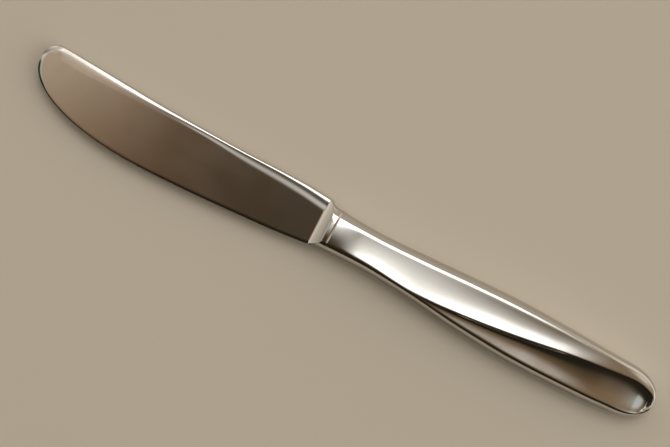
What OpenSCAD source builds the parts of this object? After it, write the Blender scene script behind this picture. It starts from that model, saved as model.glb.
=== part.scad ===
// Table knife with a hollow, relief-pressed handle, lying on its side.
// X runs from the blade's tip to the handle's butt, Y from the cutting edge to
// the spine, and Z up. The origin is under the middle of the knife, on the table.

/* [Blade] */
// Length of the blade, from its tip to the bolster
blade_length = 96.5; // [80:0.5:125]
// Width that the outline of the blade is drawn to
blade_width = 19.7; // [16:0.1:24]
// Thickness of the blade at the heel
blade_thickness = 2.1; // [1.6:0.1:2.6]
// Thickness of the blade near its tip
tip_thickness = 1.3; // [1.1:0.1:1.6]
// Thickness lost between the spine and the cutting edge
grind_taper = 1.25; // [0.6:0.05:1.4]
// Thickness of the cutting edge itself
edge_thickness = 0.16; // [0.1:0.02:0.3]
// Width of the bevel that is ground along the cutting edge
edge_bevel_width = 0.9; // [0.5:0.05:1.2]
// Width of the rounding along the middle of the spine
spine_round_width = 0.8; // [0.5:0.05:1]
// Width of the shallow bevel that runs beside the spine
spine_bevel_width = 2.5; // [1.5:0.1:3.5]
// Depth of that bevel at the heel
spine_bevel_drop = 0.2; // [0.1:0.02:0.3]
// Width of the rounded rim at the very tip
tip_rim_width = 1.2; // [0.6:0.1:1.6]

/* [Bolster] */
// Length of the bolster's sloping face
bolster_length = 3.4; // [2.4:0.1:6]
// Length of the polished neck between the slope and the handle
neck_length = 1.65; // [1:0.05:4]
// Thickness of the neck, and of the handle's mouth
neck_thickness = 7; // [5.8:0.1:8]
// Rise of the neck's top above a flat one
neck_crown = 0.18; // [0:0.01:0.3]
// Depth of the spigot inside the handle's mouth
spigot_length = 2.6; // [1.5:0.1:5]
// Narrowing of the spigot on each side, from the neck to its end
spigot_taper = 0.3; // [0.2:0.05:0.5]

/* [Handle] */
// Length of the handle
handle_length = 108.4; // [95:0.5:130]
// Width that the outline of the handle is drawn to
handle_width = 17.7; // [15:0.1:21]
// Thickness of the handle across its highest ridge
handle_thickness = 9; // [8:0.1:11]
// Thickness of the pressed sheet of each half
sheet_thickness = 0.8; // [0.5:0.05:1]
// Radius that rounds the lip of the mouth
lip_radius = 0.3; // [0.15:0.05:0.5]
// Length over which the neck's section turns into the ridged handle
mouth_blend_length = 9.5; // [6:0.5:16]
// Depth to which the thumb hollow is drawn down below its rim, at the foot of the ridge
hollow_depth = 1.2; // [0.6:0.05:1.4]
// Sag of the long facet below a flat one
facet_sag = 0.14; // [0:0.02:0.3]

/* [Tang and filler] */
// Length of the tang behind the neck
tang_length = 62; // [40:1:75]
// Width of the tang where it leaves the spigot
tang_root_width = 6.2; // [5:0.1:7.5]
// Width of the tang at its end
tang_end_width = 3.8; // [3:0.1:4.8]
// Thickness of the tang
tang_thickness = 3; // [2.4:0.1:3.4]
// Depth of the notches that key the tang into the filler
notch_depth = 0.8; // [0.4:0.05:1]
// Length of each notch
notch_length = 3; // [2:0.1:4]
// Length of the filler, from the spigot towards the butt
filler_length = 79; // [60:1:90]
// Clearance between the spigot, the tang, the filler and the sheet
fit_gap = 0.06; // [0.04:0.01:0.12]

/* [Hidden] */

// Outlines: [share of the length, share of the width], from the heel or the mouth.
blade_spine_shares = [[0, 0.476], [0.1, 0.503], [0.33, 0.495], [0.57, 0.523],
    [0.8, 0.576], [0.93, 0.608], [1, 0.62]];
blade_edge_shares = [[0, -0.304], [0.1, -0.357], [0.257, -0.409], [0.41, -0.451],
    [0.566, -0.471], [1, -0.471]];
handle_spine_shares = [[0, 0.449], [0.055, 0.421], [0.138, 0.41], [0.275, 0.445],
    [0.413, 0.489], [0.55, 0.516], [0.688, 0.504], [0.826, 0.474], [0.9, 0.461], [1, 0.46]];
handle_edge_shares = [[0, -0.28], [0.07, -0.27], [0.14, -0.274], [0.275, -0.329],
    [0.413, -0.421], [0.55, -0.477], [0.62, -0.486], [0.69, -0.482], [0.826, -0.455],
    [0.9, -0.424], [1, -0.405]];
// Height of the tip and of the butt's middle, as shares of the two widths.
tip_height_share = 0.319;
butt_height_share = 0;
// Where the ends start to turn round, as shares of the length, and how square they are.
spine_turn_share = 0.9465;
edge_turn_share = 0.566;
butt_turn_share = 0.894;
tip_power = 2.15;
butt_power = 2.3;

// Handle relief along the length: place of the ridge between the two shoulders,
// heights as shares of half the handle's thickness, widths as shares of its width.
ridge_shares = [[0, 0.012], [0.25, 0.012], [0.33, 0.11], [0.385, 0.197], [0.495, 0.341],
    [0.605, 0.479], [0.715, 0.618], [0.826, 0.745], [0.922, 0.828], [1, 0.83]];
crest_height_shares = [[0, 0.785], [0.03, 0.8], [0.07, 0.82], [0.15, 0.88], [0.275, 0.95],
    [0.413, 0.99], [0.55, 1], [0.688, 0.985], [0.826, 0.94], [0.95, 0.87], [1, 0.8]];
rim_height_shares = [[0, 0.785], [0.03, 0.8], [0.07, 0.818], [0.15, 0.877], [0.25, 0.93],
    [0.413, 0.87], [0.55, 0.8], [0.688, 0.76], [0.826, 0.72], [0.9, 0.685], [0.94, 0.67],
    [0.965, 0.705], [0.985, 0.77], [1, 0.8]];
spine_height_shares = [[0, 0.72], [0.05, 0.69], [0.083, 0.66], [0.138, 0.675], [0.275, 0.72],
    [0.413, 0.765], [0.55, 0.8], [0.688, 0.83], [0.826, 0.86], [0.95, 0.82], [1, 0.8]];
rim_side_shares = [[0, 0.113], [0.1, 0.113], [0.25, 0.087], [0.33, 0.083], [0.5, 0.1],
    [0.8, 0.102], [1, 0.087]];
spine_side_shares = [[0, 0.25], [0.05, 0.195], [0.1, 0.175], [0.14, 0.172], [0.28, 0.178],
    [0.413, 0.173], [0.55, 0.165], [0.69, 0.135], [0.83, 0.11], [1, 0.085]];
facet_sag_shares = [[0, 0.4], [0.1, 0.4], [0.3, 0.5], [0.5, 1], [0.7, 1], [0.9, 0.7], [1, 0.4]];
// The hollow's section from its rim to the ridge: a floor that is drawn down at the first
// place, and a wall that starts at the second, each by a share of the named depth. The
// second turns negative near the butt, where the wall rises gently.
hollow_near_share = 0.5;
hollow_low_share = 0.9;
near_depth_shares = [[0, 0], [0.33, 0], [0.413, 0.03], [0.549, 0.12], [0.619, 0.33],
    [0.689, 0.53], [0.755, 0.6], [0.827, 0.44], [0.878, 0.42], [0.93, 0.4], [0.955, 0.33],
    [0.985, 0.04], [1, 0]];
low_depth_shares = [[0, 0], [0.25, 0], [0.33, 0.1], [0.413, 0.35], [0.549, 0.87], [0.619, 1],
    [0.689, 0.65], [0.755, 0.15], [0.827, -0.35], [0.878, -0.3], [0.955, -0.15],
    [0.985, -0.08], [1, 0]];
// Where the facet and the hollow are divided, from edge to spine.
hollow_column_shares = [0.17, 0.36, 0.53, 0.68, 0.8, 0.91];
facet_column_shares = [0.12, 0.3, 0.5, 0.7, 0.88];
// Height of the neck beside the spine, as a share of its height beside the cutting edge.
neck_back_share = 0.9;
// Rise of the bolster's slope, and its narrowing towards the neck.
slope_shares = [[0, 0], [0.1, 0.03], [0.25, 0.115], [0.5, 0.335], [0.75, 0.635], [1, 1]];
narrowing_shares = [[0, 0], [0.25, 0.16], [0.6, 0.72], [1, 1]];
slope_row_shares = [0.07, 0.14, 0.22, 0.3, 0.45, 0.6, 0.75, 0.88, 1];
// Bevels and roundings along the blade, as shares of their named widths.
edge_bevel_shares = [[0, 1], [0.5, 0.89], [0.9, 0.5], [1, 0.44]];
spine_round_shares = [[0, 2], [0.1, 1.5], [0.2, 1], [0.35, 0.88], [0.5, 1.25], [0.7, 2.6],
    [0.88, 4], [1, 3.5]];
spine_bevel_shares = [[0, 1], [0.3, 1], [0.6, 0.8], [1, 0.6]];
spine_drop_shares = [[0, 1], [0.25, 0.8], [0.45, 0.4], [0.6, 0.15], [1, 0.1]];
spine_land_shares = [[0, 0.2], [0.25, 0.14], [0.5, 0.06], [0.7, 0.02], [1, 0.02]];
// Width of the blade below which its spine bevel narrows, and where the tip's rim takes over.
full_bevel_share = 0.46;
tip_rim_share = 0.93;
// Where the flank is divided, and the bevel beside the spine.
flank_column_shares = [0, 0.25, 0.5, 0.75];
sweep_column_shares = [0.25, 0.75];
// Tang notches along its length.
notch_shares = [0.32, 0.52, 0.72];
tang_tip_share = 0.94;

blade_rows = 17;
tip_rows = 9;
handle_rows = 25;
butt_rows = 9;
arc_steps = 5;
end_angle = 87;
overrun = 0.5;

half_neck = neck_thickness / 2;
half_handle = handle_thickness / 2;
heel_x = -neck_length - bolster_length;

// Smooth curve through a table of [place, value] pairs.
function pair_before(t, table) =
    max([for (i = [0:len(table) - 2]) if (i == 0 || t >= table[i][0]) i]);
function table_slope(table, i) =
    let (a = table[max(i - 1, 0)], b = table[min(i + 1, len(table) - 1)])
    (b[1] - a[1]) / (b[0] - a[0]);
function curve_at(t, table) =
    let (i = pair_before(t, table), a = table[i], b = table[i + 1], run = b[0] - a[0],
        s = (t - a[0]) / run, c = 3 * s * s - 2 * s * s * s)
    a[1] * (1 - c) + b[1] * c
        + run * table_slope(table, i) * (s * s * s - 2 * s * s + s)
        + run * table_slope(table, i + 1) * (s * s * s - s * s);
function blend(a, b, s) = a + (b - a) * s;
function eased(s) = let (c = min(1, max(0, s))) 3 * c * c - 2 * c * c * c;

// Superellipse that closes a rounded end: 1 up to the turn, 0 at the end.
function closing(t, turn, power) =
    t <= turn ? 1 : pow(max(0, 1 - pow((t - turn) / (1 - turn), power)), 1 / power);
function turn_stations(turn, power, rows) =
    [for (i = [1:rows]) turn + (1 - turn) * pow(sin(i * end_angle / rows), 2 / power)];

// Two-dimensional normal of an outline at point i, towards the inside.
function inward(line, i, side) =
    let (d = line[min(i + 1, len(line) - 1)] - line[max(i - 1, 0)])
    i == 0 ? [0, side] : side * sign(d.x) * [-d.y, d.x] / norm(d);

// Quarter-ellipse side wall that rises from the outline point to its shoulder.
function side_arc(p, normal, inset, width, height, foot, angle) =
    [for (k = [0:arc_steps]) let (a = angle * k / arc_steps,
        q = p + normal * (inset + width * (1 - cos(a))))
        [q.x, q.y, foot + (height - foot) * sin(a)]];
function reversed(list) = [for (i = [len(list) - 1:-1:0]) list[i]];

// Handle: stations along X, outlines and rows of points over its upper half.
handle_stations = concat(
    [for (s = [0, 0.3, 1]) s * lip_radius / handle_length],
    [for (i = [1:handle_rows]) let (lip = lip_radius / handle_length)
        lip + (butt_turn_share - lip) * pow(i / handle_rows, 1.2)],
    turn_stations(butt_turn_share, butt_power, butt_rows));
function handle_line(table) = [for (t = handle_stations)
    [t * handle_length, handle_width * (butt_height_share
        + (curve_at(t, table) - butt_height_share) * closing(t, butt_turn_share, butt_power))]];
handle_spine = handle_line(handle_spine_shares);
handle_edge = handle_line(handle_edge_shares);
mouth_width = handle_spine[0].y - handle_edge[0].y;
mouth_middle = (handle_spine[0].y + handle_edge[0].y) / 2;

// The mouth has the neck's heights, and the ridged form takes over along the blend.
function mouth_hold(t) = 1 - eased(t * handle_length / mouth_blend_length);
function shell_height(t, table, mouth_share) =
    blend(half_handle * curve_at(t, table), half_neck * mouth_share, mouth_hold(t));
// Side walls lean straight inwards at the mouth, so that its rim stays in one plane.
function shell_side(line, i, side, widths, height, inset) =
    let (t = handle_stations[i], n = blend(inward(line, i, side), [0, side], mouth_hold(t)))
    side_arc(line[i], n / norm(n), inset,
        max(handle_width * curve_at(t, widths) - inset, fit_gap), height - inset, 0, 90);
function lip_inset(x) =
    x < lip_radius ? lip_radius - sqrt(pow(lip_radius, 2) - pow(lip_radius - x, 2)) : 0;

// A row across the handle, from the cutting-edge side to the spine side, inside the
// outer skin by inset: side wall, hollow, ridge, facet, side wall.
function handle_row(i, inset) =
    let (t = handle_stations[i],
        rim = shell_side(handle_edge, i, 1, rim_side_shares,
            shell_height(t, rim_height_shares, 1), inset),
        spine = shell_side(handle_spine, i, -1, spine_side_shares,
            shell_height(t, spine_height_shares, neck_back_share), inset),
        a = rim[arc_steps], b = spine[arc_steps],
        p = blend(a, b, curve_at(t, ridge_shares)),
        ridge = [p.x, p.y, max(p.z, shell_height(t, crest_height_shares, 1) - inset)],
        near = lowered(blend(a, ridge, hollow_near_share),
            a.z - hollow_depth * curve_at(t, near_depth_shares)),
        low = lowered(blend(a, ridge, hollow_low_share),
            a.z - hollow_depth * curve_at(t, low_depth_shares)),
        sag = blend(facet_sag * curve_at(t, facet_sag_shares), -neck_crown, mouth_hold(t)))
    concat(rim,
        [for (u = hollow_column_shares) a * pow(1 - u, 3) + near * 3 * u * pow(1 - u, 2)
            + low * 3 * u * u * (1 - u) + ridge * pow(u, 3)],
        [ridge],
        [for (s = facet_column_shares) blend(ridge, b, s) - [0, 0, sag * 4 * s * (1 - s)]],
        reversed(spine));
function lowered(p, z) = [p.x, p.y, min(p.z, z)];
function handle_grid(inset) = [for (i = [0:len(handle_stations) - 1])
    [for (p = handle_row(i, inset + lip_inset(handle_stations[i] * handle_length) * (inset > 0 ? 0 : 1))) p]];

// Blade: outline and rows from the neck's rear face to the tip.
blade_stations = concat([for (i = [0:blade_rows]) spine_turn_share * i / blade_rows],
    turn_stations(spine_turn_share, tip_power, tip_rows));
function blade_line(table, turn) = [for (t = blade_stations)
    [heel_x - t * blade_length, blade_width * (tip_height_share
        + (curve_at(t, table) - tip_height_share) * closing(t, turn, tip_power))]];
blade_spine = blade_line(blade_spine_shares, spine_turn_share);
blade_edge = blade_line(blade_edge_shares, edge_turn_share);
half_edge = edge_thickness / 2;

// Each flank is one plane, thinner towards the tip and towards the cutting edge.
function flank_height(p) = blade_thickness / 2
    - (blade_thickness - tip_thickness) / 2 * (heel_x - p.x) / blade_length
    - grind_taper / 2 * (blade_spine[0].y - p.y) / blade_width;
function on_flank(p) = [p.x, p.y, flank_height(p)];
// Wall between the blade's outline and its flank: a bevel at 0, and a rounding at 1.
function ground_wall(p, normal, width, height, roundness) =
    [for (k = [0:arc_steps]) let (s = k / arc_steps,
        q = p + normal * width * blend(s, 1 - cos(90 * s), roundness))
        [q.x, q.y, blend(half_edge, height, blend(s, sin(90 * s), roundness))]];
function blade_row(i) =
    let (t = blade_stations[i],
        tip = eased((t - tip_rim_share) / (1 - tip_rim_share)),
        ne = inward(blade_edge, i, 1), ns = inward(blade_spine, i, -1),
        room = min(1, (blade_spine[i].y - blade_edge[i].y) / (blade_width * full_bevel_share)),
        bevel = blend(edge_bevel_width * curve_at(t, edge_bevel_shares), tip_rim_width, tip),
        round_width = blend(spine_round_width * curve_at(t, spine_round_shares), tip_rim_width, tip),
        drop = spine_bevel_drop * curve_at(t, spine_drop_shares) * room,
        edge_top = on_flank(blade_edge[i] + ne * bevel),
        spine_top = on_flank(blade_spine[i] + ns * round_width),
        across = edge_top - spine_top,
        land = spine_bevel_width * curve_at(t, spine_land_shares) * room / norm(across),
        sweep = spine_bevel_width * curve_at(t, spine_bevel_shares) * room / norm(across),
        foot = on_flank(spine_top + across * min(0.3, land)) - [0, 0, drop],
        crease = on_flank(spine_top + across * min(0.5, land + sweep)))
    concat([for (k = [0:arc_steps - 1])
            ground_wall(blade_edge[i], ne, bevel, edge_top.z, tip / 2)[k]],
        [for (s = flank_column_shares) blend(edge_top, crease, s)],
        [crease],
        [for (s = sweep_column_shares)
            blend(crease, foot, s) + [0, 0, drop * s * (1 - s) * (1 - 2 * s)]],
        [foot],
        reversed(ground_wall(blade_spine[i], ns, round_width, foot.z, 1 - tip / 2)));

// Neck: the section of the handle's mouth, cut down to the blade along the bolster's slope.
neck_columns = len(flank_column_shares) + len(sweep_column_shares) + 1;
function neck_side(x, y, side, width, height, cut) =
    side_arc([x, y], [0, side], 0, width, height, half_edge,
        asin((min(cut, height) - half_edge) / (height - half_edge)));
function neck_row(x, lo, hi, inset, cut_lo, cut_hi, crown) =
    let (share = (hi - lo) / mouth_width,
        edge_side = neck_side(x, lo + inset, 1, handle_width * rim_side_shares[0][1] * share
            - inset, half_neck - inset, cut_lo),
        spine_side = neck_side(x, hi - inset, -1, handle_width * spine_side_shares[0][1] * share
            - inset, half_neck * neck_back_share - inset, cut_hi),
        a = edge_side[arc_steps], b = spine_side[arc_steps])
    concat(edge_side,
        [for (k = [1:neck_columns]) let (s = k / (neck_columns + 1))
            blend(a, b, s) + [0, 0, crown * 4 * s * (1 - s)]],
        reversed(spine_side));
function slope_row(s, x) =
    let (c = curve_at(s, narrowing_shares), rise = curve_at(s, slope_shares),
        lo = blend(blade_edge[0].y, handle_edge[0].y, c),
        hi = blend(blade_spine[0].y, handle_spine[0].y, c))
    neck_row(x, lo, hi, 0, blend(flank_height([heel_x, lo]), half_neck, rise),
        blend(flank_height([heel_x, hi]), half_neck, rise), neck_crown * pow(rise, 6));
function spigot_row(x, inset) =
    neck_row(x, handle_edge[0].y, handle_spine[0].y, inset, half_neck, half_neck, neck_crown);
blade_grid = concat(
    [spigot_row(spigot_length, sheet_thickness + fit_gap + spigot_taper)],
    [spigot_row(0, sheet_thickness + fit_gap)],
    [spigot_row(0, 0)],
    [for (s = reversed(slope_row_shares)) slope_row(s, heel_x + s * bolster_length)],
    [for (i = [0:len(blade_stations) - 1]) blade_row(i)]);

// Solids from rows of points.
function quad(a, b, c, d) = [[a, b, c], [a, c, d]];
function joined(lists) = [for (list = lists) for (item = list) item];
function mirrored(row, skip) =
    [for (i = [len(row) - 1 - skip:-1:skip]) [row[i].x, row[i].y, -row[i].z]];
function flipped(faces) = [for (f = faces) reversed(f)];
function grid_faces(rows, columns, first) =
    joined([for (i = [0:rows - 2]) for (j = [0:columns - 2]) let (a = first + i * columns + j)
        quad(a, a + 1, a + columns + 1, a + columns)]);
// Closes a rounded end by strips between its two side walls, and a fan over its top.
function end_faces(first, columns) =
    let (b = first + columns - 1)
    concat(joined([for (j = [0:arc_steps - 1]) quad(first + j, first + j + 1, b - j - 1, b - j)]),
        [for (j = [arc_steps:columns - arc_steps - 3]) [b - arc_steps, first + j, first + j + 1]]);

// A closed body whose rows are mirrored below the plane of symmetry. Rows that
// start and end on that plane share these points between the two halves.
module mirrored_body(grid) {
    columns = len(grid[0]);
    skip = grid[0][0].z == 0 ? 1 : 0;
    loop = 2 * columns - 2 * skip;
    last = (len(grid) - 1) * loop;
    points = joined([for (row = grid) concat(row, mirrored(row, skip))]);
    sides = joined([for (i = [0:len(grid) - 2]) for (j = [0:loop - 1])
        let (a = i * loop + j, b = i * loop + (j + 1) % loop)
        quad(a, b, b + loop, a + loop)]);
    start = [[for (j = [loop - 1:-1:0]) j]];
    end = skip == 0
        ? concat(end_faces(last, columns), end_faces(last + columns, columns),
            quad(last, last + columns - 1, last + columns, last + loop - 1))
        : joined([for (j = [0:columns - 2]) let (a = last + j, c = last + (loop - j - 1) % loop,
            d = last + (loop - j) % loop)
            j == 0 ? [[a, a + 1, c]] : j == columns - 2 ? [[a, a + 1, d]] : quad(a, a + 1, c, d)]);
    faces = concat(sides, start, end);
    backwards = grid[len(grid) - 1][0].x < grid[0][0].x;
    polyhedron(points = points, faces = backwards ? flipped(faces) : faces, convexity = 8);
}

// Hollow of the handle up to its rounded butt, drawn out in front of the mouth.
module cavity(gap) {
    grid = handle_grid(sheet_thickness + gap);
    lead = [for (p = grid[0]) p - [overrun, 0, 0]];
    mirrored_body(concat([lead], [for (i = [0:len(grid) - butt_rows - 1]) grid[i]]));
}

// Box that keeps what lies between two places along X.
module span_box(from, to) {
    translate([from, -handle_width, -handle_thickness])
        cube([to - from, 2 * handle_width, 2 * handle_thickness]);
}

// Flat tang with notches in both edges, widened all round by gap.
module tang(from, gap) {
    function half_width(x) = blend(tang_root_width, tang_end_width, x / tang_length) / 2;
    function notch(x) = [[x - notch_length / 2, half_width(x)],
        [x - notch_length / 2 + notch_depth, half_width(x) - notch_depth],
        [x + notch_length / 2 - notch_depth, half_width(x) - notch_depth],
        [x + notch_length / 2, half_width(x)]];
    upper = concat([[from, half_width(from)]],
        joined([for (s = notch_shares) notch(s * tang_length)]),
        [[tang_tip_share * tang_length, half_width(tang_length)],
            [tang_length, half_width(tang_length) - notch_depth]]);
    lower = [for (p = reversed(upper)) [p.x, -p.y]];
    translate([0, mouth_middle, -tang_thickness / 2 - gap])
        linear_extrude(tang_thickness + 2 * gap)
            polygon([for (p = concat(upper, lower)) p]);
}

// Places what is drawn from the mouth's middle plane on the table, about the origin.
handle_top = max([for (row = handle_grid(0)) for (p = row) p.z]);
middle_x = (handle_length + heel_x - blade_length) / 2;
middle_y = (max([for (p = blade_spine) p.y]) + min([for (p = blade_edge) p.y])) / 2;
module on_table() {
    translate([-middle_x, -middle_y, handle_top]) children();
}

module blade() {
    color("silver") on_table() {
        mirrored_body(blade_grid);
        tang(spigot_length - overrun, 0);
    }
}

module upper_half() {
    outer = handle_grid(0);
    inner = handle_grid(sheet_thickness);
    rows = len(outer);
    columns = len(outer[0]);
    n = rows * columns;
    last = n - columns;
    mouth = joined([for (j = [0:columns - 2]) quad(j, n + j, n + j + 1, j + 1)]);
    seam = joined([for (i = [0:rows - 2]) let (a = i * columns, b = a + columns - 1)
        concat(quad(a, a + columns, n + a + columns, n + a),
            quad(b, n + b, n + b + columns, b + columns))]);
    butt = quad(last, last + columns - 1, n + last + columns - 1, n + last);
    polyhedron(points = concat(joined(outer), joined(inner)),
        faces = concat(grid_faces(rows, columns, 0), flipped(grid_faces(rows, columns, n)),
            mouth, seam, end_faces(last, columns), flipped(end_faces(n + last, columns)), butt),
        convexity = 8);
}

module upper_shell() {
    color("gainsboro") on_table() upper_half();
}

module lower_shell() {
    color("gainsboro") on_table() mirror([0, 0, 1]) upper_half();
}

module tang_cement() {
    color("tan") on_table() difference() {
        intersection() {
            cavity(fit_gap);
            span_box(spigot_length + fit_gap, spigot_length + filler_length);
        }
        tang(0, fit_gap);
    }
}

blade();
upper_shell();
lower_shell();
tang_cement();
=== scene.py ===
import math
from itertools import accumulate

import bmesh
import bpy
import numpy as np
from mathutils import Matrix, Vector


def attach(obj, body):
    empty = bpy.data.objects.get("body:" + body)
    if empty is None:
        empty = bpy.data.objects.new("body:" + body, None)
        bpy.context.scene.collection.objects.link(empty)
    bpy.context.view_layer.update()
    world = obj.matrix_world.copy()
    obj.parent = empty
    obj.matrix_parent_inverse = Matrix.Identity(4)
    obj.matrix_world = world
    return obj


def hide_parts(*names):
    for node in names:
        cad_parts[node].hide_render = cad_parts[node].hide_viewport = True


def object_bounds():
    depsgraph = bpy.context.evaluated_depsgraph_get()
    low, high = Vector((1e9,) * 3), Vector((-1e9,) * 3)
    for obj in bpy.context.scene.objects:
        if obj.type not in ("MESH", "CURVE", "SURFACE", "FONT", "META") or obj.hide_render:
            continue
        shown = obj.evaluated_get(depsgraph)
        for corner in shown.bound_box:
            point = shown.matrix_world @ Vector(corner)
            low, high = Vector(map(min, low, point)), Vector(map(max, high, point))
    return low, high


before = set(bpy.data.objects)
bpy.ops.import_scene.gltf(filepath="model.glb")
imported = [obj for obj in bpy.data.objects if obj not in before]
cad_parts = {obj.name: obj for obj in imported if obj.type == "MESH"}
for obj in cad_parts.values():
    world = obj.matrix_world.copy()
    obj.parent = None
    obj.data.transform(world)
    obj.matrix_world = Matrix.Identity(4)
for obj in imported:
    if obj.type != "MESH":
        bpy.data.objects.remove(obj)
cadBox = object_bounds()
mm = 0.001

# Sizes in mm, from the middle of the handle's mouth: x towards the butt, y towards the spine.
knife = {
    "handleLength": 108.4, "handleWidth": 17.7, "handleThickness": 9.0,
    "neckLength": 1.65, "bolsterLength": 3.4, "neckThickness": 7.0,
    "bladeLength": 96.5, "bladeWidth": 19.7, "sheet": 0.8, "fitGap": 0.06,
    "middleY": 1.3856,  # middle of the whole knife's width
}
halfHandle = knife["handleThickness"] / 2
halfNeck = knife["neckThickness"] / 2
heelX = -knife["neckLength"] - knife["bolsterLength"]
middleX = (knife["handleLength"] + heelX - knife["bladeLength"]) / 2
midHeight = (cadBox[0][2] + cadBox[1][2]) / 2

# Outlines: (share of the length, share of the width), from the heel or the mouth.
outline = {
    "bladeSpine": [(0, 0.476), (0.1, 0.503), (0.33, 0.495), (0.57, 0.523), (0.8, 0.576),
                   (0.93, 0.608), (1, 0.62)],
    "bladeEdge": [(0, -0.304), (0.1, -0.357), (0.257, -0.409), (0.41, -0.451),
                  (0.566, -0.471), (1, -0.471)],
    "handleSpine": [(0, 0.449), (0.055, 0.421), (0.138, 0.41), (0.275, 0.445), (0.413, 0.489),
                    (0.55, 0.516), (0.688, 0.504), (0.826, 0.474), (0.9, 0.461), (1, 0.46)],
    "handleEdge": [(0, -0.28), (0.07, -0.27), (0.14, -0.274), (0.275, -0.329), (0.413, -0.421),
                   (0.55, -0.477), (0.62, -0.486), (0.69, -0.482), (0.826, -0.455),
                   (0.9, -0.424), (1, -0.405)],
}

arcSteps = 24  # steps of each rounded side, before it's softened
softening = {"samples": 6, "reach": 3}  # samples to a radius, and radii that are averaged
skin = {"mergeDistance": 0.002, "leastEdge": 0.0005}  # in mm


# A place in knife sizes, laid on the table with the knife's middle at the origin.
def laid(x, y, z):
    return Vector(((x - middleX) * mm, (y - knife["middleY"]) * mm, midHeight + z * mm))


# Smooth curve through a table's pairs of place and value.
def curveAt(t, table):
    i = min(len(table) - 2, sum(1 for pair in table[1:-1] if t >= pair[0]))

    def slope(k):
        a, b = table[max(k - 1, 0)], table[min(k + 1, len(table) - 1)]
        return (b[1] - a[1]) / (b[0] - a[0])

    (t0, v0), (t1, v1) = table[i], table[i + 1]
    run = t1 - t0
    s = (t - t0) / run
    c = 3 * s * s - 2 * s ** 3
    return (v0 * (1 - c) + v1 * c + run * slope(i) * (s ** 3 - 2 * s * s + s)
            + run * slope(i + 1) * (s ** 3 - s * s))


def mix(a, b, s):
    return a + (b - a) * s


def smoothStep(a, b, x):
    s = min(1, max(0, (x - a) / (b - a)))
    return s * s * (3 - 2 * s)


def evenShares(count):
    return (np.arange(1, count + 1) / count)[:, None]


# Heights of a shallow arch over the shares of its span.
def arch(rise, s):
    return (rise * 4 * s * (1 - s))[:, 0]


# Stations run evenly to where the end starts to turn round, then by angle to its very end.
def outlineStations(size):
    turn, rows = size["turn"], size["rows"]
    angles = [math.radians(90) * i / size["turnRows"] for i in range(1, size["turnRows"] + 1)]
    return ([turn * (i / rows) ** size["rowSpread"] for i in range(rows + 1)]
            + [turn + (1 - turn) * math.sin(a) ** (2 / size["power"]) for a in angles])


def closing(t, turn, power):
    return 1 if t <= turn else max(0, 1 - ((t - turn) / (1 - turn)) ** power) ** (1 / power)


def outlinePoints(stations, table, size):
    points = [(size["from"] + size["way"] * t * size["length"],
               size["width"] * (size["endShare"] + (curveAt(t, table) - size["endShare"])
                                * closing(t, size["turn"], size["power"])))
              for t in stations]
    return np.array(points)


def inwardNormals(points, side, way):
    step = np.gradient(points, axis=0)
    normals = np.stack([-step[:, 1], step[:, 0]], 1) * side * way
    normals /= np.linalg.norm(normals, axis=1)[:, None]
    normals[0] = (0, side)
    normals[-1] = (-way, 0)
    return normals


# Wall that rises as a quarter ellipse, or a part of one, from an outline point to its shoulder.
def sideArc(point, normal, width, height, foot, angle, inset=0):
    a = np.radians(angle) * np.arange(arcSteps + 1) / arcSteps
    out = inset + width * (1 - np.cos(a))
    return np.stack([point[0] + normal[0] * out, point[1] + normal[1] * out,
                     foot + (height - foot) * np.sin(a)], 1)


# Rounds the creases of a section, with its mirror image below so that the seam stays level.
# Steps are the parts' lengths in points, and counts the points that each part gets: even at a
# spread of 1, closer to the part's start over 1, and closer to its end where it's negative.
def softened(section, steps, counts, radius, spread=(1, 1, 1, 1, 1)):
    mirrored = section[::-1] * (1, 1, -1)
    line = np.concatenate([mirrored[:-1], section, mirrored[1:]])
    lengths = np.concatenate([[0], np.cumsum(np.linalg.norm(np.diff(line, axis=0), axis=1))])
    pitch = radius / softening["samples"]
    even = np.arange(0, lengths[-1], pitch)
    dense = np.stack([np.interp(even, lengths, line[:, k]) for k in range(3)], 1)
    reach = softening["samples"] * softening["reach"]
    weights = np.exp(-0.5 * (np.arange(-reach, reach + 1) * pitch / radius) ** 2)
    weights /= weights.sum()
    smooth = np.stack([np.convolve(dense[:, k], weights, mode="same") for k in range(3)], 1)
    marks = [lengths[len(section) - 1 + mark] for mark in accumulate(steps, initial=0)]
    places = [marks[0]]
    for first, second, count, power in zip(marks[:-1], marks[1:], counts, spread):
        shares = [k / count for k in range(1, count + 1)]
        shares = [s ** power if power > 0 else 1 - (1 - s) ** -power for s in shares]
        places += [mix(first, second, share) for share in shares]
    result = np.stack([np.interp(places, even, smooth[:, k]) for k in range(3)], 1)
    result[0, 2] = result[-1, 2] = section[0, 2]
    return result


# Lofts a skin through rows of points: a grid whose vertices are moved to their rows.
def loftedMesh(rows):
    bm = bmesh.new()
    lastRow, lastColumn = len(rows) - 1, len(rows[0]) - 1
    bmesh.ops.create_grid(bm, x_segments=lastRow, y_segments=lastColumn, size=1)
    for v in bm.verts:
        row = rows[round((v.co.x + 1) / 2 * lastRow)]
        v.co = laid(*row[round((v.co.y + 1) / 2 * lastColumn)])
    bmesh.ops.remove_doubles(bm, verts=bm.verts, dist=skin["mergeDistance"] * mm)
    bmesh.ops.dissolve_degenerate(bm, edges=bm.edges, dist=skin["leastEdge"] * mm)
    return bm


def pieceFrom(bm, name, sharpAngle):
    mesh = bpy.data.meshes.new(name)
    bm.to_mesh(mesh)
    bm.free()
    mesh.shade_smooth()
    mesh.set_sharp_from_angle(angle=math.radians(sharpAngle))
    piece = bpy.data.objects.new(name, mesh)
    bpy.context.scene.collection.objects.link(piece)
    return piece


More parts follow.
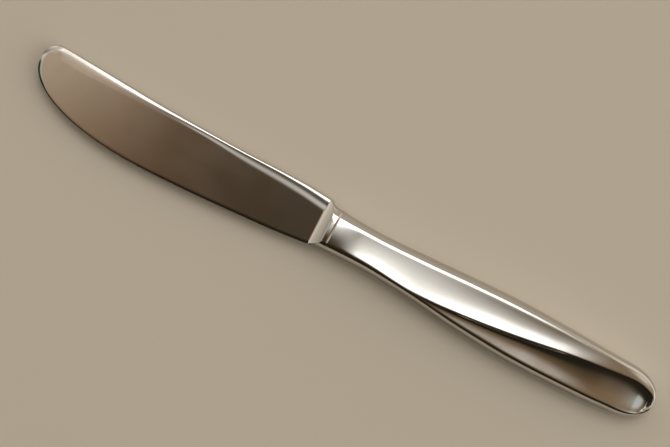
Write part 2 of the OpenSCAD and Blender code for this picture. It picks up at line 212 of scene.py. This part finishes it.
# Handle: two pressed half shells with a ridge between a facet and a thumb hollow. The tables
# hold (share of the length, value): heights are shares of half the thickness, side widths of
# the handle's width, and depths of the hollow's depth.
handle = {
    "turn": 0.894, "power": 2.3, "endShare": 0, "from": 0, "way": 1,
    "length": knife["handleLength"], "width": knife["handleWidth"],
    "rows": 190, "turnRows": 64, "rowSpread": 1.1,
    "lipRadius": 0.15, "lipSteps": 6, "lipGap": 0.1, "mouthMiddle": 0.4, "mouthBlend": 9.5,
    "neckCrown": 0.18, "neckBack": 0.9, "neckArc": 74,
    "dishSteps": 32, "facetSteps": 24, "columns": (20, 44, 36, 22), "spread": (1, -2, 2, 1),
    "skinSharpAngle": 60, "sharpAngle": 45,
    "creaseRadius": [(0, 0.5), (0.06, 0.35), (0.1, 0.25), (0.3, 0.25), (0.6, 0.25), (0.8, 0.2),
                     (1, 0.2)],
    "ridge": [(0, 0.012), (0.25, 0.012), (0.33, 0.11), (0.385, 0.197), (0.495, 0.341),
              (0.605, 0.479), (0.715, 0.618), (0.826, 0.745), (0.922, 0.828), (1, 0.83)],
    "crestHeight": [(0, 0.785), (0.03, 0.8), (0.07, 0.82), (0.15, 0.88), (0.275, 0.95),
                    (0.413, 0.99), (0.55, 1), (0.688, 0.985), (0.826, 0.94), (0.95, 0.88),
                    (1, 0.83)],
    "rimHeight": [(0, 0.785), (0.03, 0.8), (0.07, 0.818), (0.15, 0.877), (0.25, 0.93),
                  (0.413, 0.87), (0.55, 0.8), (0.688, 0.76), (0.826, 0.71), (0.9, 0.66),
                  (0.95, 0.6), (0.98, 0.54), (0.99, 0.58), (0.996, 0.76), (1, 0.83)],
    "spineHeight": [(0, 0.72), (0.05, 0.69), (0.083, 0.66), (0.138, 0.675), (0.275, 0.72),
                    (0.413, 0.765), (0.55, 0.8), (0.688, 0.83), (0.826, 0.86), (0.88, 0.84),
                    (0.94, 0.79), (0.97, 0.795), (1, 0.83)],
    "rimSide": [(0, 0.113), (0.1, 0.113), (0.25, 0.087), (0.33, 0.083), (0.5, 0.1), (0.8, 0.102),
                (0.93, 0.09), (1, 0.05)],
    "spineSide": [(0, 0.27), (0.05, 0.195), (0.1, 0.175), (0.14, 0.172), (0.28, 0.178),
                  (0.413, 0.173), (0.55, 0.165), (0.69, 0.135), (0.83, 0.115), (0.93, 0.1),
                  (0.97, 0.085), (1, 0.05)],
    "facetSag": 0.14,
    "sag": [(0, 0.4), (0.1, 0.4), (0.3, 0.6), (0.5, 1.2), (0.68, 1.2), (0.755, 0.6), (0.826, 0),
            (0.88, -0.3), (0.94, -0.35), (1, 0)],
    "hollowDepth": 1.2, "nearShare": 0.5, "lowShare": 0.87,
    "nearDepth": [(0, 0), (0.33, 0), (0.413, 0.08), (0.549, 0.32), (0.619, 0.55), (0.689, 0.76),
                  (0.755, 0.74), (0.827, 0.47), (0.878, 0.4), (0.925, 0.42), (0.95, 0.45),
                  (0.983, 0.52), (0.991, 0.45), (0.996, 0.1), (1, 0)],
    "lowDepth": [(0, 0), (0.25, 0), (0.33, 0.1), (0.413, 0.35), (0.549, 0.87), (0.619, 1),
                 (0.689, 0.65), (0.755, 0.15), (0.827, -0.35), (0.878, -0.35), (0.95, -0.4),
                 (0.983, -0.4), (0.992, -0.7), (1, -1)],
}


# The mouth has the neck's heights, and the ridged form takes over along the blend.
def mouthHold(t):
    return 1 - smoothStep(0, handle["mouthBlend"], t * handle["length"])


def shellHeight(t, table, mouthShare):
    return mix(halfHandle * curveAt(t, handle[table]), halfNeck * mouthShare, mouthHold(t))


# Half section across the handle: rim, dish of the hollow, facet and spine side.
def handleRow(t, edge, edgeIn, spine, spineIn, inset):
    def sideWall(point, normal, side, widths, height, angle):
        normal = mix(np.array(normal), np.array((0, side)), mouthHold(t))
        width = handle["width"] * curveAt(t, handle[widths])
        return sideArc(point, normal / np.linalg.norm(normal), width - inset, height - inset, 0,
                       angle, inset)

    rim = sideWall(edge, edgeIn, 1, "rimSide", shellHeight(t, "rimHeight", 1), 90)
    back = sideWall(spine, spineIn, -1, "spineSide",
                    shellHeight(t, "spineHeight", handle["neckBack"]),
                    mix(90, handle["neckArc"], mouthHold(t)))[::-1]
    a, b = rim[-1], back[0]
    ridge = mix(a, b, curveAt(t, handle["ridge"]))
    ridge[2] = max(ridge[2], shellHeight(t, "crestHeight", 1) - inset)
    near, low = mix(a, ridge, handle["nearShare"]), mix(a, ridge, handle["lowShare"])
    near[2] = min(near[2], a[2] - handle["hollowDepth"] * curveAt(t, handle["nearDepth"]))
    low[2] = min(low[2], a[2] - handle["hollowDepth"] * curveAt(t, handle["lowDepth"]))
    u = evenShares(handle["dishSteps"])
    dish = (a * (1 - u) ** 3 + 3 * near * u * (1 - u) ** 2 + 3 * low * u * u * (1 - u)
            + ridge * u ** 3)
    s = evenShares(handle["facetSteps"])
    facet = mix(ridge, b, s)
    sag = mix(handle["facetSag"] * curveAt(t, handle["sag"]), -handle["neckCrown"], mouthHold(t))
    facet[:, 2] -= arch(sag, s)
    section = np.concatenate([rim, dish, facet, back[1:]])
    steps = (arcSteps, handle["dishSteps"], handle["facetSteps"], arcSteps)
    return softened(section, steps, handle["columns"], curveAt(t, handle["creaseRadius"]),
                    handle["spread"])


# Rows of the whole skin: the mouth's flat face, its rounded lip, then the stations.
def handleRows():
    stations = outlineStations(handle)
    edge = outlinePoints(stations, outline["handleEdge"], handle)
    spine = outlinePoints(stations, outline["handleSpine"], handle)
    edgeIn, spineIn = inwardNormals(edge, 1, 1), inwardNormals(spine, -1, 1)
    lip = handle["lipRadius"]

    def mouthRow(inset, x=0):
        return handleRow(0, edge[0], (0, 1), spine[0], (0, -1), inset) + (x, 0, 0)

    rows = [mouthRow(inset) for inset in (knife["sheet"], handle["mouthMiddle"], lip)]
    for step in range(1, handle["lipSteps"] + 1):
        a = math.radians(90) * step / handle["lipSteps"]
        rows.append(mouthRow(lip * (1 - math.sin(a)), lip * (1 - math.cos(a))))
    for i, t in enumerate(stations):
        if t * handle["length"] > lip + handle["lipGap"]:
            rows.append(handleRow(t, edge[i], edgeIn[i], spine[i], spineIn[i], 0))
    return rows


def handleShell(name, node, flip):
    rows = [row * (1, 1, -1 if flip else 1) for row in handleRows()]
    bm = loftedMesh(rows)
    bmesh.ops.recalc_face_normals(bm, faces=bm.faces)
    outward = sum(f.normal.z * f.calc_area() for f in bm.faces)
    if (outward < 0) != flip:
        bmesh.ops.reverse_faces(bm, faces=bm.faces)
    piece = pieceFrom(bm, name, handle["skinSharpAngle"])
    wall = piece.modifiers.new("sheetThickness", "SOLIDIFY")
    wall.thickness = knife["sheet"] * mm
    wall.offset = -1
    bpy.context.view_layer.update()
    walled = piece.evaluated_get(bpy.context.evaluated_depsgraph_get())
    solid = bpy.data.meshes.new_from_object(walled)
    piece.modifiers.clear()
    piece.data = solid
    solid.name = name
    solid.shade_smooth()
    solid.set_sharp_from_angle(angle=math.radians(handle["sharpAngle"]))
    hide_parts(node)
    return piece


# Blade: flat flanks between an edge bevel and a shallow bevel beside the spine. The tables
# hold (share of the length, size in mm), but for the bolster's slope and narrowing, which hold
# shares of its rise and of its change of width.
blade = {
    "turn": 0.9465, "edgeTurn": 0.566, "power": 2.15, "endShare": 0.319,
    "from": heelX, "way": -1, "length": knife["bladeLength"], "width": knife["bladeWidth"],
    "rows": 150, "turnRows": 56, "rowSpread": 1, "wallSteps": 12, "flatSteps": 40,
    "columns": (8, 44, 10, 6, 10), "softRadius": 0.09, "sharpAngle": 28,
    "thickness": 2.1, "tipThickness": 1.3, "grindTaper": 1.25, "edgeThickness": 0.16,
    "tipFrom": 0.93, "tipSide": 1.2,  # from here both sides turn into one even rim
    "fullWidth": 9,  # where the blade is narrower, its bevel and land narrow with it
    "leastWidth": 0.01, "leastSpan": 1e-6,  # at the very tip, where the width shrinks to nothing
    "edgeBevel": [(0, 0.7), (0.5, 0.55), (0.9, 0.4), (1, 0.4)],
    "spineRound": [(0, 1.6), (0.1, 1.2), (0.2, 0.8), (0.35, 0.7), (0.5, 1), (0.7, 2.1),
                   (0.88, 3.2), (1, 2.8)],
    "spineLand": [(0, 0.5), (0.25, 0.35), (0.5, 0.15), (0.7, 0.05), (1, 0.05)], "landLimit": 0.3,
    "spineBevel": [(0, 2.5), (0.2, 2.4), (0.3, 2), (0.42, 1.2), (0.6, 0.9), (1, 0.9)],
    "bevelLimit": 0.5,
    "bevelDrop": [(0, 0.2), (0.25, 0.16), (0.45, 0.08), (0.6, 0.03), (1, 0.02)],
    "slope": [(0, 0), (0.1, 0.03), (0.25, 0.115), (0.5, 0.335), (0.75, 0.635), (1, 1)],
    "narrowing": [(0, 0), (0.25, 0.16), (0.6, 0.72), (1, 1)],
    "slopeRows": 40, "crownPower": 6, "neckRadius": 0.3, "neckChamfer": 0.08,
    "spigotLength": 2.6, "spigotTaper": 0.3, "spigotEnd": 1.9, "shoulderMiddle": 0.5,
}


def flankHeight(x, y, spineY):
    return (blade["thickness"] / 2
            - (blade["thickness"] - blade["tipThickness"]) / 2 * (heelX - x) / blade["length"]
            - blade["grindTaper"] / 2 * (spineY - y) / blade["width"])


# Half section across the blade: edge wall, flank, swept bevel, land and spine wall.
def bladeSection(t, edge, edgeIn, spine, spineIn, spineY):
    atTip = smoothStep(blade["tipFrom"], 1, t)
    edgeWidth = mix(curveAt(t, blade["edgeBevel"]), blade["tipSide"], atTip)
    spineWidth = mix(curveAt(t, blade["spineRound"]), blade["tipSide"], atTip)
    room = min(1, max(spine[1] - edge[1], blade["leastWidth"]) / blade["fullWidth"])
    land, swell, drop = (curveAt(t, blade[table]) * room
                         for table in ("spineLand", "spineBevel", "bevelDrop"))

    def flank(point, lower=0):
        return np.array([point[0], point[1], flankHeight(*point, spineY) - lower])

    edgeTop = flank(edge + edgeIn * edgeWidth)
    spineTop = spine + spineIn * spineWidth
    across = spineTop - edgeTop[:2]
    span = max(np.linalg.norm(across), blade["leastSpan"])
    landFoot = flank(spineTop - across * min(blade["landLimit"], land / span), drop)
    crease = flank(spineTop - across * min(blade["bevelLimit"], (land + swell) / span))
    spineTop = np.array([*spineTop, landFoot[2]])
    line = np.arange(blade["wallSteps"] + 1) / blade["wallSteps"]
    arcOut, arcUp = 1 - np.cos(line * math.pi / 2), np.sin(line * math.pi / 2)
    halfEdge = blade["edgeThickness"] / 2

    # A wall from foot to top: straight at a share of 0 and a quarter ellipse at 1. The edge's
    # is straight and the spine's round, and at the tip both are halfway between.
    def wall(foot, top, share):
        out, up = mix(line, arcOut, share)[:, None], mix(line, arcUp, share)
        points = np.append(foot, 0) * (1 - out) + top * out
        points[:, 2] = halfEdge + (top[2] - halfEdge) * up
        return points

    front, back = wall(edge, edgeTop, atTip / 2), wall(spine, spineTop, 1 - atTip / 2)[::-1]
    flat = mix(edgeTop, crease, evenShares(blade["flatSteps"]))
    s = evenShares(blade["wallSteps"])
    swept = mix(crease, landFoot, s)
    swept[:, 2] += (drop * (s - 3 * s * s + 2 * s ** 3))[:, 0]
    section = np.concatenate([front, flat, swept, mix(landFoot, spineTop, s), back[1:]])
    steps = (blade["wallSteps"], blade["flatSteps"]) + (blade["wallSteps"],) * 3
    return softened(section, steps, blade["columns"], blade["softRadius"])


# The neck has the section of the handle's mouth, cut down to the blade along its slope.
def neckSection(x, low, high, cutLow=math.inf, cutHigh=math.inf, inset=0, crown=1.0):
    halfEdge = blade["edgeThickness"] / 2
    mouthShare = outline["handleSpine"][0][1] - outline["handleEdge"][0][1]
    grown = (high - low) / handle["width"] / mouthShare

    def sideWall(y, side, share, height, cut, fullAngle):
        height -= inset
        angle = math.degrees(math.asin((min(cut, height) - halfEdge) / (height - halfEdge)))
        return sideArc((x, y), (0, side), share * handle["width"] * grown - inset, height,
                       halfEdge, min(angle, fullAngle), inset)

    front = sideWall(low, 1, handle["rimSide"][0][1], halfNeck, cutLow, 90)
    back = sideWall(high, -1, handle["spineSide"][0][1], halfNeck * handle["neckBack"], cutHigh,
                    handle["neckArc"])[::-1]
    s = evenShares(blade["flatSteps"])
    top = mix(front[-1], back[0], s)
    top[:, 2] += arch(handle["neckCrown"] * crown, s)
    section = np.concatenate([front, top, back[1:]])
    counts = (blade["columns"][0], sum(blade["columns"][1:4]), blade["columns"][4])
    return softened(section, (arcSteps, blade["flatSteps"], arcSteps), counts,
                    mix(blade["softRadius"], blade["neckRadius"], crown))


# Rows from the spigot's end over the neck and bolster to the tip, closed round below.
def bladeRows():
    stations = outlineStations(blade)
    edge = outlinePoints(stations, outline["bladeEdge"], {**blade, "turn": blade["edgeTurn"]})
    spine = outlinePoints(stations, outline["bladeSpine"], blade)
    edgeIn, spineIn = inwardNormals(edge, 1, -1), inwardNormals(spine, -1, -1)
    spineY = spine[0][1]
    mouthLow = handle["width"] * outline["handleEdge"][0][1]
    mouthHigh = handle["width"] * outline["handleSpine"][0][1]
    seat, chamfer = knife["sheet"] + knife["fitGap"], blade["neckChamfer"]
    neckPlaces = ((blade["spigotLength"], blade["spigotEnd"]),
                  (blade["spigotLength"], seat + blade["spigotTaper"]),
                  (0, seat), (0, blade["shoulderMiddle"]), (0, chamfer),
                  (-chamfer / 3, chamfer / 3), (-chamfer, 0), (-knife["neckLength"] / 2, 0))
    rows = [neckSection(x, mouthLow, mouthHigh, inset=inset) for x, inset in neckPlaces]
    for i in range(blade["slopeRows"], 0, -1):
        s = i / blade["slopeRows"]
        narrow, rise = curveAt(s, blade["narrowing"]), curveAt(s, blade["slope"])
        low, high = mix(edge[0][1], mouthLow, narrow), mix(spine[0][1], mouthHigh, narrow)
        rows.append(neckSection(heelX + s * knife["bolsterLength"], low, high,
                                mix(flankHeight(heelX, low, spineY), halfNeck, rise),
                                mix(flankHeight(heelX, high, spineY), halfNeck, rise),
                                crown=rise ** blade["crownPower"]))
    for i, t in enumerate(stations):
        rows.append(bladeSection(t, edge[i], edgeIn[i], spine[i], spineIn[i], spineY))
    return [np.concatenate([row, row[::-1] * (1, 1, -1), row[:1]]) for row in rows]


# Flat tang with notches in both edges, drawn as a strip and then thickened. Its root sits a
# little way inside the spigot, and its notches' places are shares of its length.
tang = {
    "length": 62, "rootWidth": 6.2, "endWidth": 3.8, "thickness": 3, "rootOverlap": 0.5,
    "notchDepth": 0.8, "notchLength": 3, "notches": (0.32, 0.52, 0.72), "tipShare": 0.94,
}


def addTang(bm):
    def halfWidth(x):
        return mix(tang["rootWidth"], tang["endWidth"], x / tang["length"]) / 2

    depth, half = tang["notchDepth"], tang["notchLength"] / 2
    places = [(blade["spigotLength"] - tang["rootOverlap"], 0)]
    for share in tang["notches"]:
        x = share * tang["length"]
        places += [(x - half, 0), (x - half + depth, depth),
                   (x + half - depth, depth), (x + half, 0)]
    places += [(tang["tipShare"] * tang["length"], 0), (tang["length"], depth)]
    strip = bmesh.new()
    bmesh.ops.create_grid(strip, x_segments=len(places) - 1, y_segments=2, size=1)
    middle = handle["width"] * (outline["handleEdge"][0][1] + outline["handleSpine"][0][1]) / 2
    for v in strip.verts:
        x, cut = places[round((v.co.x + 1) / 2 * (len(places) - 1))]
        v.co = laid(x, middle + v.co.y * (halfWidth(x) - cut), -tang["thickness"] / 2)
    grown = bmesh.ops.extrude_face_region(strip, geom=strip.faces[:])
    risen = [g for g in grown["geom"] if isinstance(g, bmesh.types.BMVert)]
    bmesh.ops.translate(strip, verts=risen, vec=(0, 0, tang["thickness"] * mm))
    bmesh.ops.recalc_face_normals(strip, faces=strip.faces)
    mesh = bpy.data.meshes.new("tangStrip")
    strip.to_mesh(mesh)
    strip.free()
    bm.from_mesh(mesh)
    bpy.data.meshes.remove(mesh)


def forgedBlade():
    bm = loftedMesh(bladeRows())
    rims = [e for e in bm.edges if e.is_boundary]
    bmesh.ops.holes_fill(bm, edges=rims, sides=0)
    bmesh.ops.recalc_face_normals(bm, faces=bm.faces)
    addTang(bm)
    piece = pieceFrom(bm, "forgedBlade", blade["sharpAngle"])
    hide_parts("blade")
    return piece


# A node's output. Sums and products of outputs and numbers add Math nodes.
class Wire:
    def __init__(self, bench, socket):
        self.bench, self.socket = bench, socket

    def math(self, kind, first, second, clamp=False):
        settings = {"operation": kind, "use_clamp": clamp}
        return self.bench.node("ShaderNodeMath", settings, {0: first, 1: second})

    def __add__(self, other):
        return self.math("ADD", self, other)

    def __radd__(self, other):
        return self.math("ADD", other, self)

    def __sub__(self, other):
        return self.math("SUBTRACT", self, other)

    def __rsub__(self, other):
        return self.math("SUBTRACT", other, self)

    def __mul__(self, other):
        return self.math("MULTIPLY", self, other)

    def __rmul__(self, other):
        return self.math("MULTIPLY", other, self)

    def clamped(self):
        return self.math("ADD", self, 0, clamp=True)

    # Rises smoothly from 0 at the low value to 1 at the high one.
    def ramp(self, low, high):
        settings = {"interpolation_type": "SMOOTHSTEP"}
        values = {"Value": self, "From Min": low, "From Max": high}
        return self.bench.node("ShaderNodeMapRange", settings, values)


# Makes the nodes of one material or world.
class Bench:
    def __init__(self, tree):
        self.tree = tree
        tree.nodes.clear()

    def node(self, kind, settings=None, values=None, out=0):
        made = self.tree.nodes.new(kind)
        for key, value in (settings or {}).items():
            setattr(made, key, value)
        for key, value in (values or {}).items():
            if isinstance(value, Wire):
                self.tree.links.new(value.socket, made.inputs[key])
            else:
                made.inputs[key].default_value = value
        return Wire(self, made.outputs[out]) if len(made.outputs) else None

    def noise(self, place, scale, detail, roughness):
        values = {"Vector": place, "Scale": scale, "Detail": detail, "Roughness": roughness}
        return self.node("ShaderNodeTexNoise", None, values)

    def stretched(self, place, scale, turn=0):
        values = {"Vector": place, "Scale": scale, "Rotation": (0, 0, math.radians(turn))}
        return self.node("ShaderNodeMapping", None, values)

    def axis(self, place, letter):
        return self.node("ShaderNodeSeparateXYZ", None, {0: place}, out=letter)

    def colors(self, share, stops):
        ramp = self.node("ShaderNodeValToRGB", None, {0: share})
        elements = ramp.socket.node.color_ramp.elements
        elements[0].position, elements[0].color = stops[0]
        elements[1].position, elements[1].color = stops[-1]
        for place, color in stops[1:-1]:
            elements.new(place).color = color
        return ramp

    # The Mix node's color sockets are inputs 6 and 7, and output 2.
    def blend(self, share, first, second):
        settings = {"data_type": "RGBA"}
        return self.node("ShaderNodeMix", settings, {"Factor": share, 6: first, 7: second}, out=2)

    def surface(self, values):
        shader = self.node("ShaderNodeBsdfPrincipled", None, values)
        self.node("ShaderNodeOutputMaterial", None, {"Surface": shader})


def newMaterial(name):
    material = bpy.data.materials.new(name)
    material.use_nodes = True
    return material, Bench(material.node_tree)


# The polish starts at a place along the knife, in mm from its middle. The handle has none:
# its place lies past the butt.
steelLook = {
    "handle": {"color": (0.66, 0.64, 0.605, 1), "smudge": (0.6, 0.575, 0.53, 1),
               "roughness": 0.14, "polished": 0.14, "polishFrom": 200,
               "grain": (140, 5200, 5200), "bump": 0.012},
    "blade": {"color": (0.64, 0.615, 0.58, 1), "smudge": (0.57, 0.54, 0.5, 1),
              "roughness": 0.15, "polished": 0.09, "polishFrom": -5.6 - middleX,
              "grain": (160, 6400, 6400), "bump": 0.015},
}
# Wear that all the steel shares. A noise is (scale, detail, roughness), and nicks run along
# lines that are (scales, turn in degrees).
steelWear = {
    "grainNoise": (1, 3, 0.6), "grainRough": 0.07,
    "smudgeNoise": (55, 4, 0.55), "smudgeRange": (0.42, 0.72), "smudgeRough": 0.03, "smudgeTint": 0.6,
    "nickNoise": (1, 1, 0.5), "nickLines": ((90, 7000, 900), 24), "nickRange": (0.76, 0.86),
    "crossLines": ((110, 8000, 900), -17), "crossRange": (0.78, 0.88),
    "scratchRough": 0.04, "scratchTint": 0.2, "scratchDepth": 0.3,
    "polishRun": 0.4, "polishFlatness": 0.85, "bumpDistance": 0.04,
}


def brushedSteel(name, look):
    wear = steelWear
    material, bench = newMaterial(name)
    place = bench.node("ShaderNodeTexCoord", out="Object")
    grain = bench.noise(bench.stretched(place, look["grain"]), *wear["grainNoise"])
    handled = bench.noise(place, *wear["smudgeNoise"]).ramp(*wear["smudgeRange"])
    nicks = bench.noise(bench.stretched(place, *wear["nickLines"]), *wear["nickNoise"])
    crossNicks = bench.noise(bench.stretched(place, *wear["crossLines"]), *wear["nickNoise"])
    scratches = (nicks.ramp(*wear["nickRange"]) + crossNicks.ramp(*wear["crossRange"])).clamped()
    polishEnd = look["polishFrom"] + wear["polishRun"]
    polish = bench.axis(place, "X").ramp(look["polishFrom"] * mm, polishEnd * mm)
    satin = (look["roughness"] + (grain - 0.5) * wear["grainRough"]
             + handled * wear["smudgeRough"] + scratches * wear["scratchRough"])
    rough = satin + polish * (look["polished"] - look["roughness"])
    stain = handled * wear["smudgeTint"] + scratches * wear["scratchTint"]
    color = bench.blend(stain, look["color"], look["smudge"])
    height = (grain - scratches * wear["scratchDepth"]) * (1 - polish * wear["polishFlatness"])
    bump = bench.node("ShaderNodeBump", None, {"Height": height, "Strength": look["bump"],
                                               "Distance": wear["bumpDistance"] * mm})
    bench.surface({"Base Color": color, "Metallic": 1.0, "Roughness": rough, "Normal": bump})
    return material


def cementMaterial():
    look = {"light": (0.58, 0.53, 0.44, 1), "dark": (0.4, 0.36, 0.29, 1), "roughness": 0.85,
            "grit": (1400, 5, 0.65), "gritShare": 0.6, "patches": (160, 3, 0.5),
            "patchShare": 0.5, "range": (0.35, 0.75), "bump": 0.4, "bumpDistance": 0.1}
    material, bench = newMaterial("tangCement")
    place = bench.node("ShaderNodeTexCoord", out="Object")
    grit, patches = bench.noise(place, *look["grit"]), bench.noise(place, *look["patches"])
    share = (grit * look["gritShare"] + patches * look["patchShare"]).ramp(*look["range"])
    bump = bench.node("ShaderNodeBump", None, {"Height": grit, "Strength": look["bump"],
                                               "Distance": look["bumpDistance"] * mm})
    bench.surface({"Base Color": bench.blend(share, look["light"], look["dark"]),
                   "Roughness": look["roughness"], "Normal": bump})
    return material


# Room light, by the direction that it comes from: x towards the butt and y towards the spine.
# Each pair after an In or Out is the stretch over which an area fades in or out.
room = {
    # The ceiling's colors from beyond the tip, over the knife, to beyond the butt.
    "stops": [(0.0, (0.6, 0.55, 0.46, 1)), (0.1, (0.9, 0.84, 0.72, 1)),
              (0.25, (1.0, 0.97, 0.92, 1)), (0.36, (0.7, 0.58, 0.45, 1)),
              (0.38, (0.46, 0.31, 0.18, 1)), (0.4, (0.28, 0.13, 0.03, 1)),
              (0.425, (0.095, 0.035, 0.004, 1)), (0.46, (0.055, 0.036, 0.014, 1)),
              (0.535, (0.075, 0.058, 0.036, 1)), (0.62, (0.22, 0.135, 0.06, 1)),
              (0.74, (0.4, 0.32, 0.24, 1)), (0.8, (1.4, 1.35, 1.3, 1)), (1.0, (1.2, 1.1, 1, 1))],
    # It darkens towards the edge's side, and in two corners beyond the tip.
    "dark": {"color": (0.02, 0.016, 0.01, 1), "slope": -2,
             "edgeCorner": {"alongOut": (-0.7, -0.55), "acrossOut": (-0.12, -0.07)},
             "spineCorner": {"alongOut": (-0.3, -0.2), "acrossIn": (0.03, 0.1)}},
    # Warm towards the tip, pale and cool towards the butt, and a pale glow on the spine's side.
    "areas": [
        {"color": (0.82, 0.69, 0.54, 1), "share": 0.8, "alongIn": (-0.5, -0.35),
         "alongOut": (-0.21, -0.15), "acrossIn": (-0.095, -0.035)},
        {"color": (0.66, 0.74, 0.71, 1), "share": 0.8, "alongIn": (0.33, 0.45),
         "alongOut": (0.52, 0.6), "acrossIn": (-0.4, -0.3), "acrossOut": (0.05, 0.15)},
        {"color": (1.0, 0.98, 0.93, 1), "share": 1.0, "alongIn": (-0.25, -0.12),
         "alongOut": (0.095, 0.215), "acrossIn": (-0.01, 0.3)},
    ],
    # A low bank behind the spine. Towards the butt it's lighter and reaches higher.
    "bank": {"color": (0.5, 0.44, 0.36, 1), "buttColor": (0.85, 0.78, 0.66, 1),
             "buttIn": (0.15, 0.3), "acrossIn": (0.54, 0.74), "rise": 0.2, "riseIn": (0.21, 0.26)},
}


def areaShare(x, y, area):
    share = area.get("share", 1.0)
    for side, axis in (("along", x), ("across", y)):
        if side + "In" in area:
            share = axis.ramp(*area[side + "In"]) * share
        if side + "Out" in area:
            share = (1 - axis.ramp(*area[side + "Out"])) * share
    return share


def lightRoom():
    world = bpy.data.worlds.new("softRoom")
    bpy.context.scene.world = world
    world.use_nodes = True
    bench = Bench(world.node_tree)
    toward = bench.node("ShaderNodeTexCoord", out="Generated")
    x, y = bench.axis(toward, "X"), bench.axis(toward, "Y")
    color = bench.colors((x + 1) * 0.5, room["stops"])  # from -1 to 1 become 0 to 1
    dark, bank = room["dark"], room["bank"]
    corners = areaShare(x, y, dark["edgeCorner"]) + areaShare(x, y, dark["spineCorner"])
    color = bench.blend((y * dark["slope"] + corners).clamped(), color, dark["color"])
    for area in room["areas"]:
        color = bench.blend(areaShare(x, y, area), color, area["color"])
    bankColor = bench.blend(x.ramp(*bank["buttIn"]), bank["color"], bank["buttColor"])
    behind = (y + x.ramp(*bank["riseIn"]) * bank["rise"]).ramp(*bank["acrossIn"])
    color = bench.blend(behind, color, bankColor)
    background = bench.node("ShaderNodeBackground", None, {"Color": color})
    bench.node("ShaderNodeOutputWorld", None, {"Surface": background})


# One soft box, high behind the spine, that lights the facet.
def hangWindow():
    window = {"place": (-0.06, 0.74, 1.42), "aim": (-0.06, 0, 0), "size": (0.68, 0.71),
              "radiance": 2.1}
    light = bpy.data.lights.new("window", "AREA")
    light.shape = "RECTANGLE"
    width, depth = window["size"]
    light.size, light.size_y = width, depth
    light.energy = window["radiance"] * math.pi * width * depth
    lamp = bpy.data.objects.new("window", light)
    lamp.location = window["place"]
    toward = Vector(window["aim"]) - Vector(window["place"])
    lamp.rotation_euler = toward.to_track_quat("-Z", "Y").to_euler()
    bpy.context.scene.collection.objects.link(lamp)


def setCamera():
    view = {"height": 0.42, "across": 0.2001, "center": (-0.004, 0.00193), "turn": 28,
            "sensor": 36}
    camera = bpy.data.cameras.new("overhead")
    camera.sensor_width = view["sensor"]
    camera.lens = view["sensor"] * view["height"] / view["across"]
    seat = bpy.data.objects.new("overhead", camera)
    seat.location = (*view["center"], midHeight + view["height"])
    seat.rotation_euler = (0, 0, math.radians(view["turn"]))
    bpy.context.scene.collection.objects.link(seat)
    bpy.context.scene.camera = seat


def layFloor():
    look = {"color": (0.74, 0.67, 0.56, 1), "roughness": 0.8, "halfSize": 4, "sharpAngle": 30}
    bm = bmesh.new()
    bmesh.ops.create_grid(bm, x_segments=1, y_segments=1, size=look["halfSize"])
    floor = pieceFrom(bm, "paleFloor", look["sharpAngle"])
    material, bench = newMaterial("paleFloor")
    bench.surface({"Base Color": look["color"], "Roughness": look["roughness"]})
    floor.data.materials.append(material)


setCamera()
layFloor()
lightRoom()
hangWindow()
print("stage set")

bladeSteel = brushedSteel("bladeSteel", steelLook["blade"])
handleSteel = brushedSteel("handleSteel", steelLook["handle"])
pieces = [forgedBlade()]
pieces[0].data.materials.append(bladeSteel)
print("blade forged")
for name, node, flip in (("upperHandleShell", "upper_shell", False),
                         ("lowerHandleShell", "lower_shell", True)):
    shell = handleShell(name, node, flip)
    shell.data.materials.append(handleSteel)
    pieces.append(shell)
print("handle pressed")
for piece in pieces:
    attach(piece, "root")
for node, material in (("tang_cement", cementMaterial()), ("blade", bladeSteel),
                       ("upper_shell", handleSteel), ("lower_shell", handleSteel)):
    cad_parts[node].data.materials.clear()
    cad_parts[node].data.materials.append(material)
print("materials set")

bpy.context.scene.view_settings.view_transform = "Standard"
